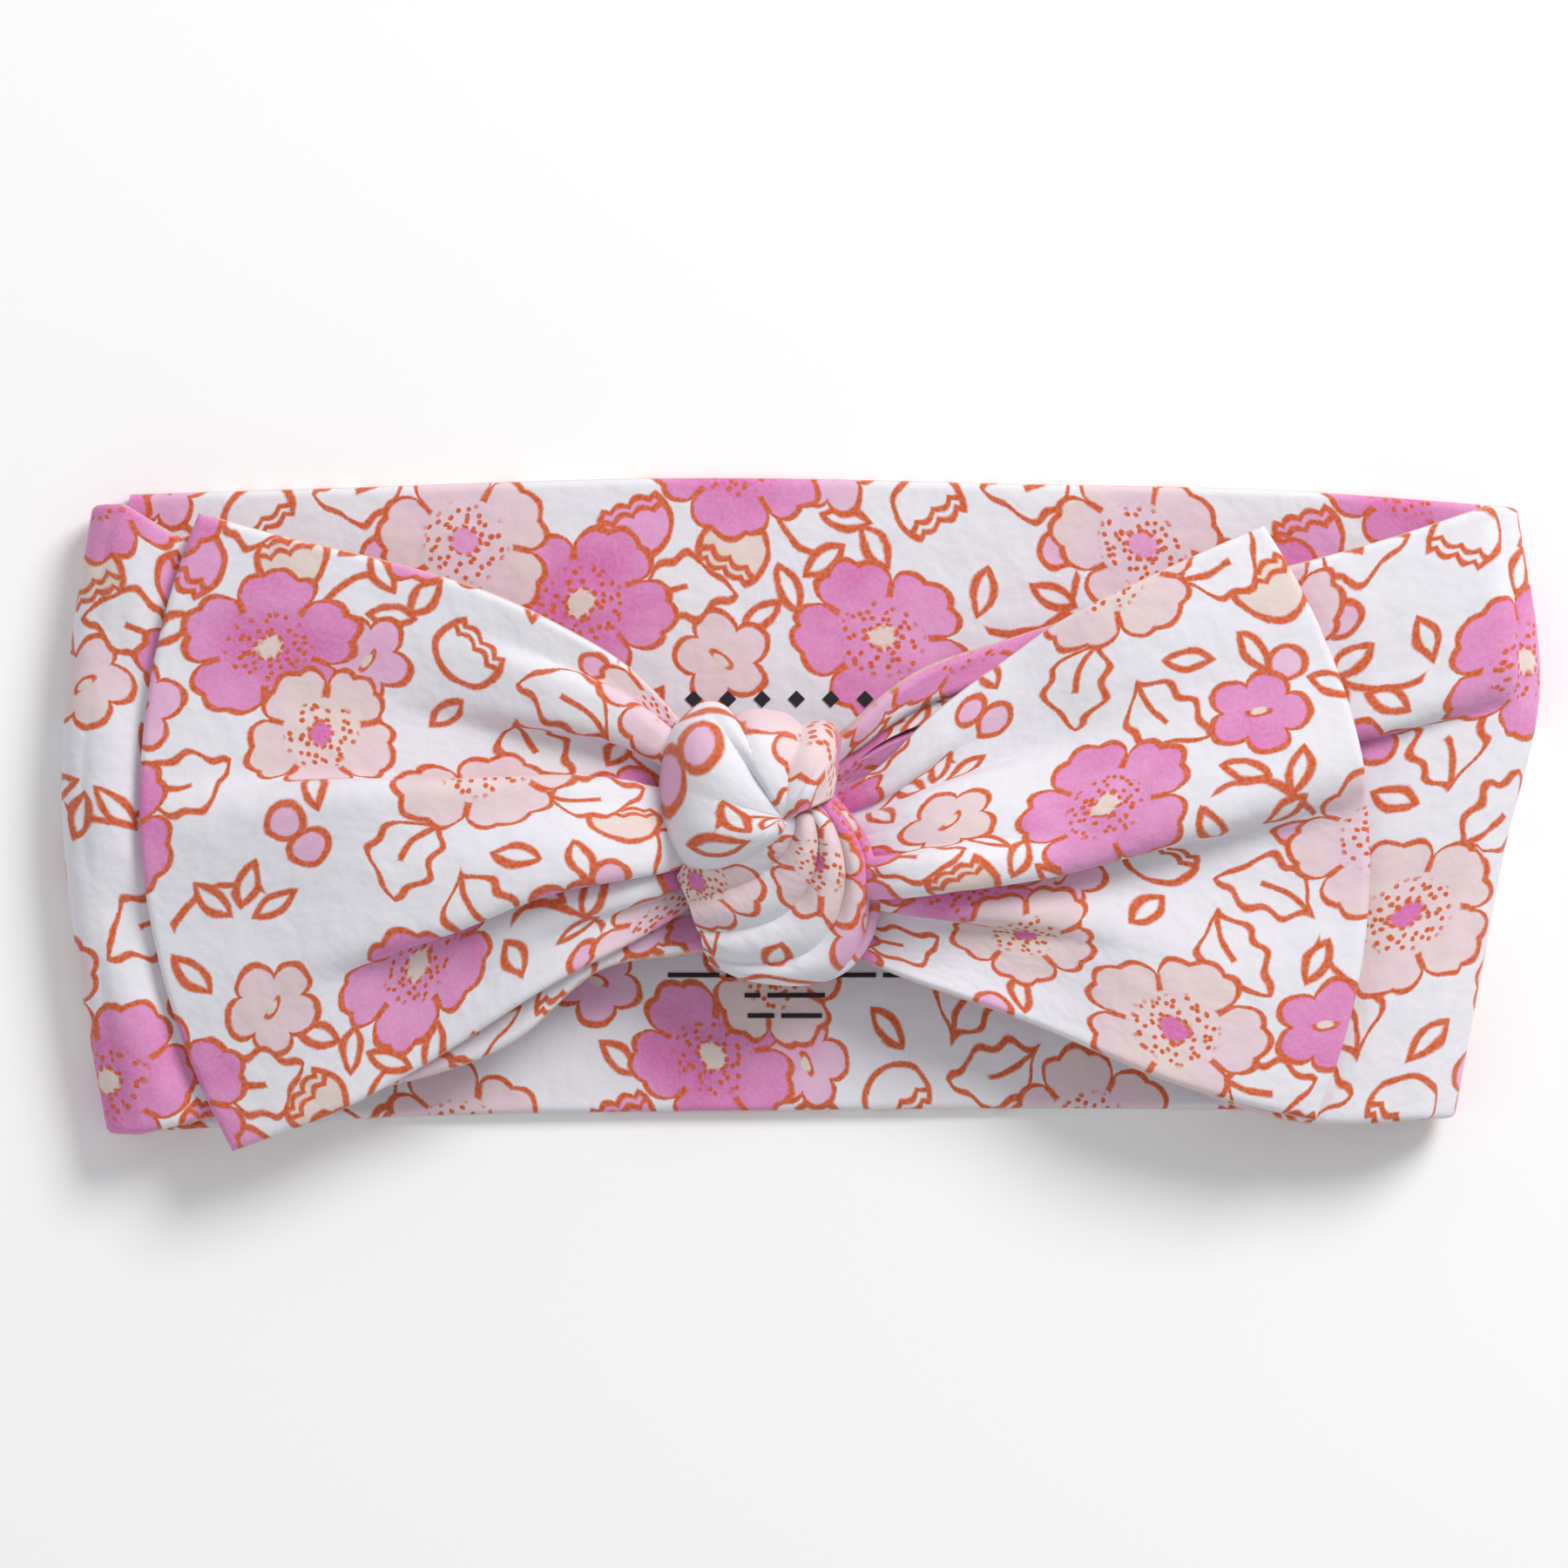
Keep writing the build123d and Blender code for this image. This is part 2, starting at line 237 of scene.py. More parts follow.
def neighbours(cells):
    """The map and its eight neighbours, stacked."""
    return np.stack([np.roll(cells, (i, j), (0, 1)) for i in (-1, 0, 1) for j in (-1, 0, 1)])


def roof(pieces):
    """How low these pieces hang, as a height map."""
    cells = np.full(MAP_CELLS, OPEN)
    for piece in pieces:
        points = np.empty(len(piece.data.vertices) * 3)
        piece.data.vertices.foreach_get("co", points)
        points = points.reshape(-1, 3) / MM
        i, j = ((points[:, :2] - MAP_CORNER) / CELL).astype(int).T
        np.minimum.at(cells, (i, j), points[:, 2])
    for _ in range(2):
        cells = neighbours(cells).min(axis=0)
    for _ in range(2):
        cells = neighbours(cells).mean(axis=0)
    return cells


def pressed(grid, cells, gap, lowest):
    """The grid pushed down to a gap under the height map, but no lower than given."""
    places = (grid[:, :, :2] - MAP_CORNER) / CELL - 0.5
    corner = places.astype(int)
    i, j = corner[:, :, 0], corner[:, :, 1]
    a, b = np.moveaxis(places - corner, 2, 0)
    limit = (1 - a) * ((1 - b) * cells[i, j] + b * cells[i, j + 1])
    limit += a * ((1 - b) * cells[i + 1, j] + b * cells[i + 1, j + 1])
    grid[:, :, 2] = np.maximum(np.minimum(grid[:, :, 2], limit - gap), lowest)
    return grid


# ---- meshes -----------------------------------------------------------------------------
def rounded(distance, half):
    """Half thickness near a rounded edge."""
    near = np.clip(distance / half, 0, 1)
    return half * np.sqrt(1 - (1 - near) ** 2)


def normals(grid, flip):
    """The unit normals of a mid-surface."""
    normal = np.cross(np.gradient(grid, axis=0), np.gradient(grid, axis=1))
    normal /= np.linalg.norm(normal, axis=2, keepdims=True) + 1e-12
    return -normal if flip else normal


def quads(at, turned):
    """The faces between the points of a grid, as the numbers of their corners."""
    corners = [at[:-1, :-1], at[1:, :-1], at[1:, 1:], at[:-1, 1:]]
    if turned:
        corners = corners[::-1]
    return np.stack(corners, axis=-1).reshape(-1, 4)


def cap(outer_row, inner_row, turned):
    """The faces that close a tube at one end, between its outer and its inner side."""
    corners = zip(outer_row, outer_row[1:], inner_row[1:], inner_row)
    faces = [tuple(dict.fromkeys(face)) for face in corners]
    return [face[::-1] if turned else face for face in faces if len(face) > 2]


def sharpen(mesh, at_end):
    """Marks the edges between two points of a tube's end as sharp."""
    pairs = np.zeros(len(mesh.edges) * 2, int)
    mesh.edges.foreach_get("vertices", pairs)
    sharp = mesh.attributes.new("sharp_edge", "BOOLEAN", "EDGE")
    sharp.data.foreach_set("value", at_end[pairs].reshape(-1, 2).all(axis=1))


def lay_print(mesh, s, v, shift, flip, ends):
    """Fabric coordinates for a tube's faces: (s, v) moved by the shift on its outer side, and
    what carries on round the edge on its inner side."""
    fabric = np.stack(np.broadcast_arrays(s[:, None], v[None, :]), axis=-1) + np.array(shift)
    around = fabric * (1, -1) + np.array([0, WIDTH + 2 * shift[1]])
    at = np.arange(len(s) * len(v)).reshape(len(s), len(v))
    end_corners = sum(len(face) for face in ends)
    uv = np.concatenate([
        fabric.reshape(-1, 2)[quads(at, flip).ravel()],
        around.reshape(-1, 2)[quads(at, not flip).ravel()],
        np.tile(fabric[0, 0], (end_corners, 1)),
    ])
    layer = mesh.uv_layers.new(name="cloth")
    layer.data.foreach_set("uv", uv.astype(np.float32).ravel())


def tube_mesh(name, grid, s, v, half, end_round=False, flip=False, shift=(0, 0)):
    """A flattened tube of cloth round a mid-surface, as one closed mesh.
    Its last row is cut square, or rounded as its sides are."""
    rows, cols = grid.shape[:2]
    to_side = np.minimum(v - v[0], v[-1] - v)[None, :] * np.ones((rows, 1))
    to_edge = to_side
    if end_round:
        steps = np.linalg.norm(np.diff(grid, axis=0), axis=2)
        run = np.concatenate([np.zeros((1, cols)), np.cumsum(steps, axis=0)])
        to_edge = np.minimum(to_side, run[-1] - run)
    half = np.broadcast_to(np.asarray(half, float).reshape(-1, 1), (rows, 1))
    offset = normals(grid, flip) * rounded(to_edge, half)[:, :, None]

    # The outer and the inner side share their points along the rounded edges.
    shared = np.zeros((rows, cols), bool)
    shared[:, [0, -1]] = True
    shared[-1] |= end_round
    outer_at = np.arange(rows * cols).reshape(rows, cols)
    inner_at = outer_at.copy()
    inner_at[~shared] = rows * cols + np.arange((~shared).sum())
    points = np.concatenate([(grid + offset).reshape(-1, 3), (grid - offset)[~shared]])
    at_end = np.zeros(len(points), bool)
    at_end[outer_at[0]] = True
    at_end[inner_at[0]] = True
    ends = cap(outer_at[0], inner_at[0], flip)
    if not end_round:
        at_end[outer_at[-1]] = True
        at_end[inner_at[-1]] = True
        ends += cap(outer_at[-1], inner_at[-1], not flip)
    sides = np.concatenate([quads(outer_at, flip), quads(inner_at, not flip)])

    mesh = bpy.data.meshes.new(name)
    mesh.from_pydata((points * MM).tolist(), [], [tuple(face) for face in sides] + ends)
    lay_print(mesh, s, v, shift, flip, ends)
    side = mesh.attributes.new("side", "FLOAT", "POINT")
    side.data.foreach_set("value", np.concatenate([to_side.ravel(), to_side[~shared]]))
    mesh.polygons.foreach_set("use_smooth", np.ones(len(mesh.polygons), bool))
    sharpen(mesh, at_end)
    mesh.validate()
    piece = bpy.data.objects.new(name, mesh)
    bpy.context.scene.collection.objects.link(piece)
    return piece


# ---- camera, light and floor ------------------------------------------------------------
FRAMED = 199.8           # width of the picture at the band's height, in millimetres
CAMERA_UP = 900.0
VIEW_CENTER = (-2.1, 3.7)
SENSOR = 36.0            # a real width in millimetres, as the lens is


def look():
    """The camera, straight above the loop."""
    camera = bpy.data.objects.new("camera", bpy.data.cameras.new("camera"))
    bpy.context.scene.collection.objects.link(camera)
    camera.location = (VIEW_CENTER[0] * MM, VIEW_CENTER[1] * MM, CAMERA_UP * MM)
    camera.data.sensor_width = SENSOR
    camera.data.lens = SENSOR * (CAMERA_UP - FRONT_Z) / FRAMED
    bpy.context.scene.camera = camera


def area_light(name, place, size, power, color):
    """A round lamp that points at the origin. Its place and size are in metres."""
    lamp = bpy.data.lights.new(name, "AREA")
    lamp.shape = "DISK"
    lamp.size = size
    lamp.energy = power
    lamp.color = color
    light = bpy.data.objects.new(name, lamp)
    bpy.context.scene.collection.objects.link(light)
    light.location = place
    light.rotation_mode = "QUATERNION"
    light.rotation_quaternion = (-light.location).to_track_quat("-Z", "Y")


def studio():
    """Soft light: a key from the upper right, a weak fill from the left and a pale world."""
    area_light("key", (0.56, 0.70, 0.72), 0.50, 10.1, (1.0, 0.985, 0.97))
    area_light("fill", (-0.8, -0.2, 0.8), 0.9, 1.0, (0.97, 0.98, 1.0))
    world = bpy.data.worlds.new("studio")
    bpy.context.scene.world = world
    world.use_nodes = True
    background = world.node_tree.nodes["Background"]
    background.inputs["Color"].default_value = (0.97, 0.98, 1.0, 1)
    background.inputs["Strength"].default_value = 0.50
    bpy.context.scene.view_settings.view_transform = "Standard"


def floor():
    """A plain pale floor just under the band. Its reach is in metres."""
    reach = 3.0
    corners = [(-reach, -reach, 0), (reach, -reach, 0), (reach, reach, 0), (-reach, reach, 0)]
    mesh = bpy.data.meshes.new("floor")
    mesh.from_pydata(corners, [], [(0, 1, 2, 3)])
    plane = bpy.data.objects.new("floor", mesh)
    bpy.context.scene.collection.objects.link(plane)
    plane.location.z = cad_low.z - 0.0002
    material = bpy.data.materials.new("pale_floor")
    material.use_nodes = True
    shader = material.node_tree.nodes["Principled BSDF"]
    shader.inputs["Base Color"].default_value = (0.97, 0.97, 0.97, 1)
    shader.inputs["Roughness"].default_value = 0.9
    mesh.materials.append(material)


look()
studio()
floor()


# ---- shader arithmetic ------------------------------------------------------------------
class Value:
    """A shader value that can be written in ordinary arithmetic."""

    def __init__(self, socket):
        self.socket = socket

    def __add__(self, other):
        return calc("ADD", self, other)

    def __sub__(self, other):
        return calc("SUBTRACT", self, other)

    def __rsub__(self, other):
        return calc("SUBTRACT", other, self)

    def __mul__(self, other):
        return calc("MULTIPLY", self, other)

    def __pow__(self, other):
        return calc("POWER", self, other)

    def __abs__(self):
        return calc("ABSOLUTE", self)

    __rmul__ = __mul__


def plug(value, slot):
    """Gives an input slot a shader value or a plain one."""
    if isinstance(value, Value):
        slot.id_data.links.new(value.socket, slot)
    else:
        slot.default_value = value


def node_on(values, kind):
    """A new node in the tree that the values are in."""
    tree = next(v.socket.id_data for v in values if isinstance(v, Value))
    return tree.nodes.new(kind)


def calc(operation, *values):
    """The result of a math node."""
    node = node_on(values, "ShaderNodeMath")
    node.operation = operation
    for value, slot in zip(values, node.inputs):
        plug(value, slot)
    return Value(node.outputs[0])


def vector_calc(operation, *values):
    """The result of a vector math node."""
    node = node_on(values, "ShaderNodeVectorMath")
    node.operation = operation
    for value, slot in zip(values, node.inputs):
        plug(value, slot)
    return Value(node.outputs["Value" if operation == "DOT_PRODUCT" else "Vector"])


def below(value, limit, soft):
    """1 where the value is under the limit, 0 over it, with a soft border."""
    given = (value, limit - soft, limit + soft, 1.0, 0.0)
    node = node_on([value], "ShaderNodeMapRange")
    node.interpolation_type = "SMOOTHSTEP"
    for item, slot in zip(given, node.inputs):
        plug(item, slot)
    return Value(node.outputs[0])


def mixed(share, under, over):
    """A share of the colour over, on the colour under."""
    node = node_on([share, under, over], "ShaderNodeMix")
    node.data_type = "RGBA"
    plug(share, node.inputs[0])
    plug(under, node.inputs[6])
    plug(over, node.inputs[7])
    return Value(node.outputs[2])


def noise(vector, scale, detail, color=False):
    """Smooth noise over the cloth, as a value or as a colour of three values."""
    node = node_on([vector], "ShaderNodeTexNoise")
    node.noise_dimensions = "2D"
    plug(vector, node.inputs["Vector"])
    node.inputs["Scale"].default_value = scale
    node.inputs["Detail"].default_value = detail
    return Value(node.outputs["Color" if color else 0])


def tone(red, green, blue):
    """A linear colour from a display one."""
    return tuple((c / 255) ** 2.2 for c in (red, green, blue)) + (1.0,)


# ---- the floral print -------------------------------------------------------------------
PRINT_SCALE = 1.1                # units of the print in one millimetre of cloth
TILE = (96.0, 84.0)              # the print repeats over this, in its own units
LINE = 0.52                      # half width of a drawn line
SOFT = 0.22                      # how far its border fades
WHITE = tone(238, 236, 241)
ORANGE = tone(213, 88, 12)
BRIGHT = tone(219, 108, 178)
MIDDLE = tone(232, 158, 208)
BLUSH = tone(234, 203, 222)
CREAM = tone(234, 214, 206)
TAN = tone(214, 186, 154)
SHARED = (("cloth", "Vector"), ("width", "Float"), ("patchy", "Float"), ("uneven", "Float"),
          ("dots", "Float"))
OWN = (("place", "Vector"), ("side_axis", "Vector"), ("out_axis", "Vector"), ("radius", "Float"),
       ("under", "Color"), ("petal", "Color"), ("light", "Color"), ("heart", "Color"))


class Motif:
    """One drawn motif. Its nodes are made once, as a group that every copy shares."""

    def __init__(self, draw, wide=1.0, high=1.0):
        self.size = (wide, high)
        self.tree = bpy.data.node_groups.new(draw.__name__, "ShaderNodeTree")
        for label, kind in SHARED + OWN:
            self.tree.interface.new_socket(label, in_out="INPUT", socket_type="NodeSocket" + kind)
        self.tree.interface.new_socket("color", in_out="OUTPUT", socket_type="NodeSocketColor")
        entry = self.tree.nodes.new("NodeGroupInput")
        given = SimpleNamespace(**{s.name: Value(s) for s in entry.outputs if s.name})
        half = (TILE[0] / 2, TILE[1] / 2, 1)
        near = vector_calc("SUBTRACT", given.cloth, given.place)
        near = vector_calc("WRAP", near, half, tuple(-h for h in half))
        given.side = vector_calc("DOT_PRODUCT", near, given.side_axis)
        given.out = vector_calc("DOT_PRODUCT", near, given.out_axis)
        squares = calc("MULTIPLY_ADD", given.side, given.side, given.out * given.out)
        given.away = calc("SQRT", squares)
        leave = self.tree.nodes.new("NodeGroupOutput")
        plug(draw(given), leave.inputs[0])

    def over(self, color, shared, x, y, turn, radius, petal=WHITE, light=WHITE, heart=WHITE):
        """The colour with this motif laid over it."""
        node = node_on([color], "ShaderNodeGroup")
        node.node_tree = self.tree
        c, s = math.cos(math.radians(turn)), math.sin(math.radians(turn))
        wide, high = radius * self.size[0], radius * self.size[1]
        given = dict(shared, place=(x, y, 0), side_axis=(c / wide, s / wide, 0),
                     out_axis=(-s / high, c / high, 0), radius=radius,
                     under=color, petal=petal, light=light, heart=heart)
        for label, value in given.items():
            plug(value, node.inputs[label])
        return Value(node.outputs[0])


def inked(given, edge, line, petal):
    """A fill inside the edge, then its line, laid over the colour so far."""
    color = mixed(below(edge, 0, SOFT), given.under, petal)
    return mixed(below(line, given.width, SOFT), color, ORANGE)


def stem(given):
    """A bare curved stem."""
    ring = abs(given.away - 1) * given.radius
    line = calc("MAXIMUM", ring, (abs(given.side) - 0.72) * given.radius)
    line = calc("MAXIMUM", line, given.out * given.radius * -1)
    return mixed(below(line, given.width, SOFT), given.under, ORANGE)


def small_leaf(given):
    """A small leaf with two pointed ends."""
    edge = (calc("MULTIPLY_ADD", given.out, given.out, abs(given.side)) - 1) * 1.2
    return inked(given, edge, abs(edge), given.petal)


def wavy_leaf(given):
    """A bent leaf with a wavy rim and a vein."""
    bent = abs(calc("MULTIPLY_ADD", given.out * given.out, 0.45, given.side))
    wave = calc("COSINE", given.out * 8.5 + 0.9)
    edge = calc("MULTIPLY_ADD", given.out, given.out, bent)
    edge = (calc("MULTIPLY_ADD", wave, 0.13, edge) - 1) * (given.radius * 0.58)
    vein = calc("MAXIMUM", bent * 0.68, abs(given.out + 0.42) - 0.52) * given.radius
    return inked(given, edge, calc("MINIMUM", abs(edge), vein), given.petal)


def berry(given):
    """A plain round berry."""
    edge = (given.away - 1) * given.radius
    return inked(given, edge, abs(edge), mixed(given.patchy, given.petal, given.light))


def tulip(given):
    """A bud like a cup with a ragged rim, drawn twice."""
    rim = given.out - 0.5 - 0.16 * abs(calc("SINE", given.side * 5.2))
    cup = given.away - 1
    edge = calc("MAXIMUM", cup, rim) * given.radius
    inside = calc("MAXIMUM", abs(rim + 0.34), cup + 0.02) * given.radius
    return inked(given, edge, calc("MINIMUM", abs(edge), inside), given.petal)


def flower(given):
    """A small plain flower with five round petals."""
    lobe = abs(calc("COSINE", calc("ARCTAN2", given.out, given.side) * 2.5))
    edge = (given.away - calc("MULTIPLY_ADD", lobe ** 0.75, 0.34, 0.68)) * given.radius
    color = inked(given, edge, abs(edge), mixed(given.patchy, given.petal, given.light))
    tall = given.out * 1.9
    heart = calc("SQRT", calc("MULTIPLY_ADD", given.side, given.side, tall * tall)) * given.radius
    color = mixed(below(heart, 1.5, 0.25), color, CREAM)
    arc = calc("MAXIMUM", abs(heart - 1.6), given.out * given.radius)
    return mixed(below(arc, 0.42, SOFT), color, ORANGE)


def blossom(given):
    """A big scalloped blossom with short strokes between its petals and dotted stamens."""
    angle = calc("ARCTAN2", given.out, given.side)
    lobe = abs(calc("COSINE", angle * 2.5))
    scallop = abs(calc("COSINE", angle * 7.5))
    rim = calc("MULTIPLY_ADD", lobe ** 0.6, 0.25, calc("MULTIPLY_ADD", scallop, 0.07, 0.68))
    edge = (given.away - rim) * given.radius
    notch = calc("MAXIMUM", lobe * given.away * 0.4, 0.56 - given.away) * given.radius
    line = calc("MINIMUM", abs(edge), calc("MAXIMUM", notch, edge))
    shade = calc("MULTIPLY_ADD", given.patchy, 1.3, -0.55)
    shade = calc("MULTIPLY_ADD", given.away, 0.45, shade)
    color = inked(given, edge, line, mixed(shade, given.petal, given.light))
    ragged = calc("MULTIPLY_ADD", given.uneven, 0.16, given.away)
    color = mixed(below(ragged, 0.24, 0.03), color, given.heart)
    ring = below(abs(ragged - 0.38), 0.16, 0.05)
    color = mixed(ring * given.dots, color, ORANGE)
    crown = below(abs(ragged - 0.245), 0.022, 0.014) * below(calc("SINE", angle * 9), 0.3, 0.2)
    return mixed(crown, color, ORANGE)


# Each copy of a motif: x and y in print units, how far it is turned in degrees, and where they
# vary its radius and its colours: petals, their light part, and heart.
SMALL_LEAVES = (
    (3, 34, 25), (38, 34, -20), (43, 77, 60), (48, 73, 10), (70, 42, -50),
    (73, 77, 30), (92, 60, -25), (88, 64, 50), (25, 3, 70), (34, 1, 20),
    (93, 17, 10), (14, 38, -40), (23, 60, 15), (33, 60.5, -60),
    (35.5, 66, -20), (28.5, 67.5, 60), (78, 3, 40), (83, 4.5, -20), (86.5, 0.5, -70),
    (4, 50, -80), (8, 54, -30), (1, 56, 50),
)
STEMS = ((27, 56, -30, 10), (80, -4, 15, 9), (3, 47, 60, 9), (46, 40, 160, 9))
WAVY_LEAVES = (
    (35.5, 14, -80), (9, 6, 150), (49, 4, 130), (75, 20, -70), (31, 45, 70),
    (77, 60, -100), (19, 79.5, -150), (26, 33, 215), (60, 77, 170),
)
# The berries are round, so they have no turn.
BERRIES = (
    (52, 30, 2.8), (56.5, 33, 2.5), (92, 8, 2.8), (89, 12.5, 2.5), (34, 54, 2.6), (38, 82, 2.6),
)
TULIPS = (
    (40, 9, 10, CREAM), (16, 48, -35, WHITE), (70, 51, 160, MIDDLE), (84, 55, 30, CREAM),
    (50, 68, -20, BRIGHT),
)
FLOWERS = (
    (41, 25, 12, 7.2, BRIGHT, MIDDLE), (83, 70, 40, 7.0, BLUSH, CREAM),
    (32, 76, -15, 7.0, BRIGHT, MIDDLE), (2, 43, 65, 6.8, BLUSH, MIDDLE),
    (67, 31, 20, 6.8, MIDDLE, BLUSH),
)
BLOSSOMS = (
    (63, 62, 10, 13.0, BRIGHT, MIDDLE, CREAM), (46, 53, 40, 13.2, BLUSH, CREAM, MIDDLE),
    (84, 42, 25, 12.6, BRIGHT, MIDDLE, CREAM), (93, 30, 60, 11.5, CREAM, BLUSH, BRIGHT),
    (20, 20, 5, 13.6, CREAM, BLUSH, BRIGHT), (62, 13, 50, 12.8, BRIGHT, MIDDLE, CREAM),
    (9, 67, 30, 12.8, MIDDLE, BRIGHT, CREAM),
)


def floral(fabric):
    """The print's colour at a fabric position."""
    fabric = vector_calc("MULTIPLY", fabric, (PRINT_SCALE, PRINT_SCALE, 0))
    wobble = vector_calc("SUBTRACT", noise(fabric, 0.16, 1.0, color=True), (0.5, 0.5, 0.5))
    fuzz = vector_calc("SUBTRACT", noise(fabric, 2.2, 2.0, color=True), (0.5, 0.5, 0.5))
    moved = vector_calc("MULTIPLY_ADD", wobble, (1.3, 1.3, 0), fabric)
    cloth = vector_calc("MULTIPLY_ADD", fuzz, (0.22, 0.22, 0), moved)
    uneven = noise(fabric, 0.28, 2.0)
    stipple = node_on([cloth], "ShaderNodeTexVoronoi")
    stipple.voronoi_dimensions = "2D"
    stipple.inputs["Scale"].default_value = 0.72
    plug(cloth, stipple.inputs["Vector"])
    shared = {
        "cloth": cloth, "uneven": uneven, "patchy": noise(moved, 0.10, 2.0),
        "width": below(uneven, 0.42, 0.08) * -0.12 + LINE,
        "dots": below(Value(stipple.outputs["Distance"]), 0.27, 0.06),
    }
    color = mixed(noise(fabric, 0.07, 1.0), WHITE, tone(236, 233, 243))
    drawn = (
        (Motif(stem), STEMS),
        (Motif(small_leaf, 0.44), [(*place, 3.3) for place in SMALL_LEAVES]),
        (Motif(berry), [(x, y, 0, r, BLUSH, MIDDLE) for x, y, r in BERRIES]),
        (Motif(tulip), [(x, y, turn, 4.9, petal) for x, y, turn, petal in TULIPS]),
        (Motif(flower, 1.0, 0.9), FLOWERS),
        (Motif(wavy_leaf, 0.68), [(*place, 6.8) for place in WAVY_LEAVES]),
        (Motif(blossom, 1.03, 0.87), BLOSSOMS),
    )
    for motif, copies in drawn:
        for copy in copies:
            color = motif.over(color, shared, *copy)
    return color


def brushed_knit():
    """The cloth's material: the print, and a soft brushed surface."""
    material = bpy.data.materials.new("printed_knit")
    material.use_nodes = True
    tree = material.node_tree
    shader = tree.nodes["Principled BSDF"]
    fabric = tree.nodes.new("ShaderNodeUVMap")
    fabric.uv_map = "cloth"
    fabric = Value(fabric.outputs[0])
    side = tree.nodes.new("ShaderNodeAttribute")
    side.attribute_name = "side"
    # Along its rounded edges the colour is mixed towards tan.
    color = mixed(below(Value(side.outputs["Fac"]), 0.10, 0.08) * 0.7, floral(fabric), TAN)
    nap = noise(fabric, 1.9, 4.0)
    pale = below(nap, 0.5, 0.16) * 0.12 + 0.02
    color = mixed(pale, color, tone(222, 217, 224))
    plug(mixed(0.10, color, (0, 0, 0, 1)), shader.inputs["Base Color"])
    shader.inputs["Roughness"].default_value = 0.95
    shader.inputs["Specular IOR Level"].default_value = 0.15
    shader.inputs["Sheen Weight"].default_value = 0.25
    shader.inputs["Sheen Roughness"].default_value = 0.5
    bump = tree.nodes.new("ShaderNodeBump")
    bump.inputs["Strength"].default_value = 1.0
    bump.inputs["Distance"].default_value = MM
    fibres = noise(fabric, 3.6, 2.0) * 0.022
    plug(calc("MULTIPLY_ADD", noise(fabric, 0.22, 2.0), 0.38, fibres), bump.inputs["Height"])
    tree.links.new(bump.outputs["Normal"], shader.inputs["Normal"])
    return material


knit = brushed_knit()

# ---- the band ---------------------------------------------------------------------------
# The back panel's long edges, as (x, y) knots, and the end folds' outer edges, as (y, x) knots.
BACK_TOP = ((-95, -60, -14, 30, 60, 95), (40.6, 41.7, 43.0, 42.2, 41.5, 39.0))
BACK_BOTTOM = ((-95, -85, -60, 0, 45, 79, 95), (-41.0, -40.9, -39.4, -38.2, -38.0, -38.6, -39.4))
LEFT_FOLD_X = ((-41.0, -20.9, 3.4, 22.0, 40.0), (-88.6, -92.2, -94.5, -93.2, -90.4))
RIGHT_FOLD_X = ((-39.1, -20.9, -4.1, 14.7, 39.1), (83.6, 87.0, 90.2, 94.5, 91.7))
BACK_ROWS = 150
BACK_SUNK = 0.06                 # the panel lies this much lower, so that the ink stands clear


def fold_edge(fold, share):
    """Where an end fold's outer edge is, at shares of its length."""
    ends = fold[0][0], fold[0][-1]
    return hermite(*fold, ends[0] + (ends[1] - ends[0]) * share)


def back_panel():
    """The plain back of the loop, between the two end folds."""
    v = across()
    share = v / WIDTH + 0.5
    left_x = fold_edge(LEFT_FOLD_X, share) + FOLD_R + HALF
    right_x = fold_edge(RIGHT_FOLD_X, share) - FOLD_R - HALF
    run = np.linspace(0, 1, BACK_ROWS)
    x = left_x + (right_x - left_x) * run[:, None]
    low = hermite(*BACK_BOTTOM, x)
    high = hermite(*BACK_TOP, x)
    y = low + (high - low) * share
    z = np.full_like(x, BACK_Z - BACK_SUNK)
    grid = np.stack([x, y, z], axis=-1)
    piece = tube_mesh("band_back", grid, x[:, len(v) // 2], v, HALF, flip=True)
    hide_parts("back_outer_ply", "back_inner_ply", "back_seam_thread")
    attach(piece, "back_band")
    return piece


# Front edges of the band, from the fold to the knot.
LEFT_FRONT_TOP = ((-90.6, 39.4), (-77.4, 34.2), (-50.0, 25.0), (-28.0, 15.5), (-8.0, 9.5))
LEFT_FRONT_BOTTOM = ((-88.5, -41.0), (-76.0, -39.0), (-58.0, -36.0), (-35.4, -28.6),
                     (-25.0, -19.5), (-17.0, -18.2), (-8.0, -17.0))
RIGHT_FRONT_TOP = ((91.7, 39.1), (75.6, 35.2), (62.0, 31.4), (40.0, 26.4), (25.6, 21.9),
                   (14.5, 18.0), (4.0, 9.0))
RIGHT_FRONT_BOTTOM = ((83.6, -39.0), (64.5, -39.6), (45.0, -33.0), (25.0, -22.0), (4.0, -12.0))
LEFT_FRONT_PLEATS = (
    (-30, -30, 5, 1, 0.3, 0.7), (-16, -16, 6, -1, 0.5, 0.9), (2, 2, 6, 1, 0.5, 1.0),
    (17, 17, 6, -1, 0.4, 0.8), (31, 31, 5, 1, 0.3, 0.7),
)
RIGHT_FRONT_PLEATS = (
    (-28, -28, 5, 1, 0.3, 0.7), (-10, -10, 6, -1, 0.4, 0.8), (5, 16, 5, 1, 1.0, 1.3),
    (22, 22, 5, -1, 0.3, 0.7), (33, 33, 4, 1, 0.3, 0.7),
)
